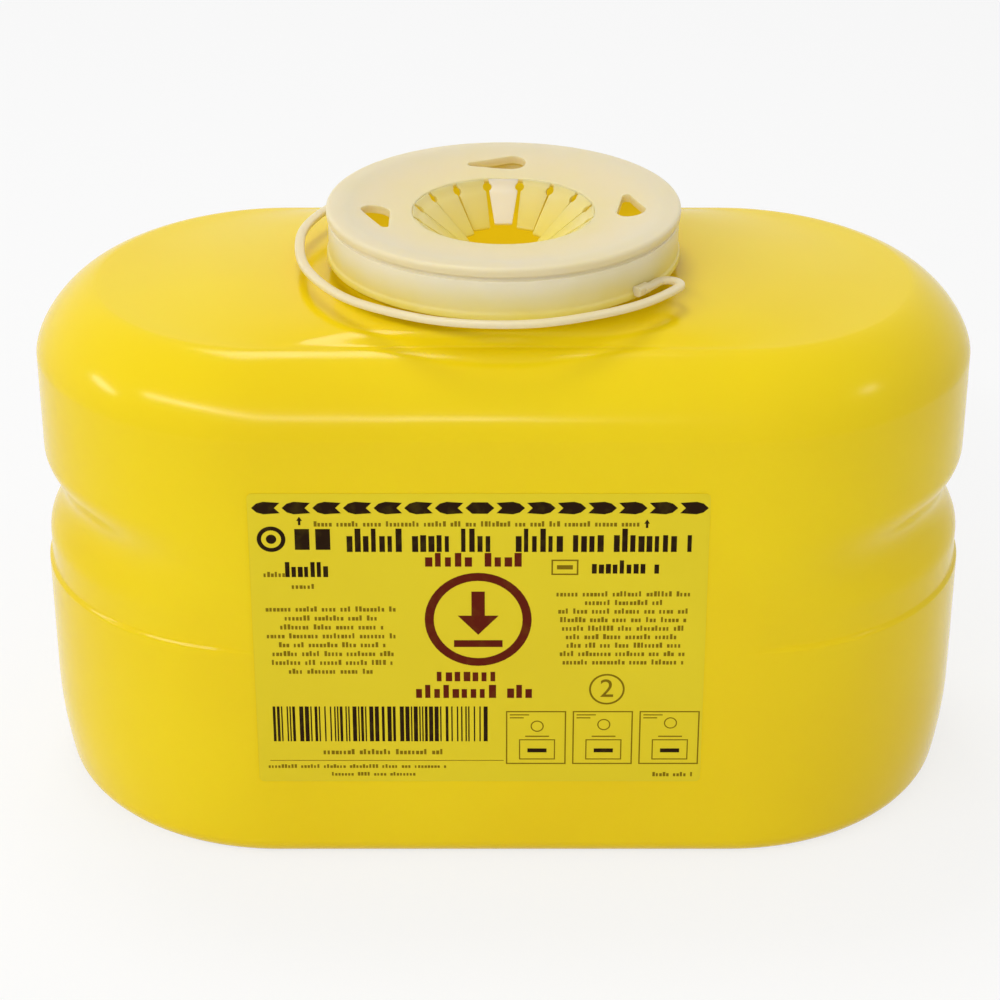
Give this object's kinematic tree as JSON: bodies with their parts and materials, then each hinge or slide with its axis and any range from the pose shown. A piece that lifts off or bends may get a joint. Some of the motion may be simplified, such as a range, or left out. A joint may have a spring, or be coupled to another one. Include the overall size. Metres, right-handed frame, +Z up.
{
  "type": "sharps container",
  "caption": "Bench-top sharps container: oval blow-moulded body with waist, push-fit funnel cap with sprung fingers and keyholes, and a tethered closure lid.",
  "frame": {"origin": "centre of the underside that it stands on", "axes": "+Z up, +X along the long side, front with its label towards -Y"},
  "size_m": [0.25, 0.1362, 0.1609],
  "materials": {
    "yellow_body": "satin blow-moulded polyethylene, slightly pebbled",
    "natural_plastic": "translucent natural polypropylene, smooth",
    "label_film": "in-mould film, smooth, a little greener than the body"
  },
  "bodies": {
    "container": {"container_body": "yellow_body", "front_label": "label_film", "funnel_cap": "natural_plastic", "tether_strap": "natural_plastic"},
    "tether_link": {"tether_link": "natural_plastic"},
    "closure_lid": {"closure_lid": "natural_plastic"},
    "finger_01": {"funnel_finger_01": "natural_plastic"},
    "finger_02": {"funnel_finger_02": "natural_plastic"},
    "finger_03": {"funnel_finger_03": "natural_plastic"},
    "finger_04": {"funnel_finger_04": "natural_plastic"},
    "finger_05": {"funnel_finger_05": "natural_plastic"},
    "finger_06": {"funnel_finger_06": "natural_plastic"},
    "finger_07": {"funnel_finger_07": "natural_plastic"},
    "finger_08": {"funnel_finger_08": "natural_plastic"},
    "finger_09": {"funnel_finger_09": "natural_plastic"},
    "finger_10": {"funnel_finger_10": "natural_plastic"},
    "finger_11": {"funnel_finger_11": "natural_plastic"},
    "finger_12": {"funnel_finger_12": "natural_plastic"},
    "finger_13": {"funnel_finger_13": "natural_plastic"},
    "finger_14": {"funnel_finger_14": "natural_plastic"},
    "finger_15": {"funnel_finger_15": "natural_plastic"},
    "finger_16": {"funnel_finger_16": "natural_plastic"}
  },
  "joints": [
    {"name": "tether_fold", "type": "hinge", "parent": "container", "child": "tether_link", "pos_m": [0, 0.057, 0.1493], "axis": [1, 0, 0], "range_deg": [0, 135.3]},
    {"name": "lid_fold", "type": "hinge", "parent": "tether_link", "child": "closure_lid", "pos_m": [0, 0.066, 0.1402], "axis": [1, 0, 0], "range_deg": [0, 134.7]},
    {"name": "finger_01_flex", "type": "hinge", "parent": "container", "child": "finger_01", "pos_m": [0.0235, 0, 0.1581], "axis": [0, -1, 0], "range_deg": [0, 35], "stiffness_Nm_per_rad": 0.02},
    {"name": "finger_02_flex", "type": "hinge", "parent": "container", "child": "finger_02", "pos_m": [0.02171, 0.00899, 0.1581], "axis": [0.3827, -0.9239, 0], "range_deg": [0, 35], "stiffness_Nm_per_rad": 0.02},
    {"name": "finger_03_flex", "type": "hinge", "parent": "container", "child": "finger_03", "pos_m": [0.01662, 0.01662, 0.1581], "axis": [0.7071, -0.7071, 0], "range_deg": [0, 35], "stiffness_Nm_per_rad": 0.02},
    {"name": "finger_04_flex", "type": "hinge", "parent": "container", "child": "finger_04", "pos_m": [0.00899, 0.02171, 0.1581], "axis": [0.9239, -0.3827, 0], "range_deg": [0, 35], "stiffness_Nm_per_rad": 0.02},
    {"name": "finger_05_flex", "type": "hinge", "parent": "container", "child": "finger_05", "pos_m": [0, 0.0235, 0.1581], "axis": [1, 0, 0], "range_deg": [0, 35], "stiffness_Nm_per_rad": 0.02},
    {"name": "finger_06_flex", "type": "hinge", "parent": "container", "child": "finger_06", "pos_m": [-0.00899, 0.02171, 0.1581], "axis": [0.9239, 0.3827, 0], "range_deg": [0, 35], "stiffness_Nm_per_rad": 0.02},
    {"name": "finger_07_flex", "type": "hinge", "parent": "container", "child": "finger_07", "pos_m": [-0.01662, 0.01662, 0.1581], "axis": [0.7071, 0.7071, 0], "range_deg": [0, 35], "stiffness_Nm_per_rad": 0.02},
    {"name": "finger_08_flex", "type": "hinge", "parent": "container", "child": "finger_08", "pos_m": [-0.02171, 0.00899, 0.1581], "axis": [0.3827, 0.9239, 0], "range_deg": [0, 35], "stiffness_Nm_per_rad": 0.02},
    {"name": "finger_09_flex", "type": "hinge", "parent": "container", "child": "finger_09", "pos_m": [-0.0235, 0, 0.1581], "axis": [0, 1, 0], "range_deg": [0, 35], "stiffness_Nm_per_rad": 0.02},
    {"name": "finger_10_flex", "type": "hinge", "parent": "container", "child": "finger_10", "pos_m": [-0.02171, -0.00899, 0.1581], "axis": [-0.3827, 0.9239, 0], "range_deg": [0, 35], "stiffness_Nm_per_rad": 0.02},
    {"name": "finger_11_flex", "type": "hinge", "parent": "container", "child": "finger_11", "pos_m": [-0.01662, -0.01662, 0.1581], "axis": [-0.7071, 0.7071, 0], "range_deg": [0, 35], "stiffness_Nm_per_rad": 0.02},
    {"name": "finger_12_flex", "type": "hinge", "parent": "container", "child": "finger_12", "pos_m": [-0.00899, -0.02171, 0.1581], "axis": [-0.9239, 0.3827, 0], "range_deg": [0, 35], "stiffness_Nm_per_rad": 0.02},
    {"name": "finger_13_flex", "type": "hinge", "parent": "container", "child": "finger_13", "pos_m": [0, -0.0235, 0.1581], "axis": [-1, 0, 0], "range_deg": [0, 35], "stiffness_Nm_per_rad": 0.02},
    {"name": "finger_14_flex", "type": "hinge", "parent": "container", "child": "finger_14", "pos_m": [0.00899, -0.02171, 0.1581], "axis": [-0.9239, -0.3827, 0], "range_deg": [0, 35], "stiffness_Nm_per_rad": 0.02},
    {"name": "finger_15_flex", "type": "hinge", "parent": "container", "child": "finger_15", "pos_m": [0.01662, -0.01662, 0.1581], "axis": [-0.7071, -0.7071, 0], "range_deg": [0, 35], "stiffness_Nm_per_rad": 0.02},
    {"name": "finger_16_flex", "type": "hinge", "parent": "container", "child": "finger_16", "pos_m": [0.02171, -0.00899, 0.1581], "axis": [-0.3827, -0.9239, 0], "range_deg": [0, 35], "stiffness_Nm_per_rad": 0.02}
  ]
}
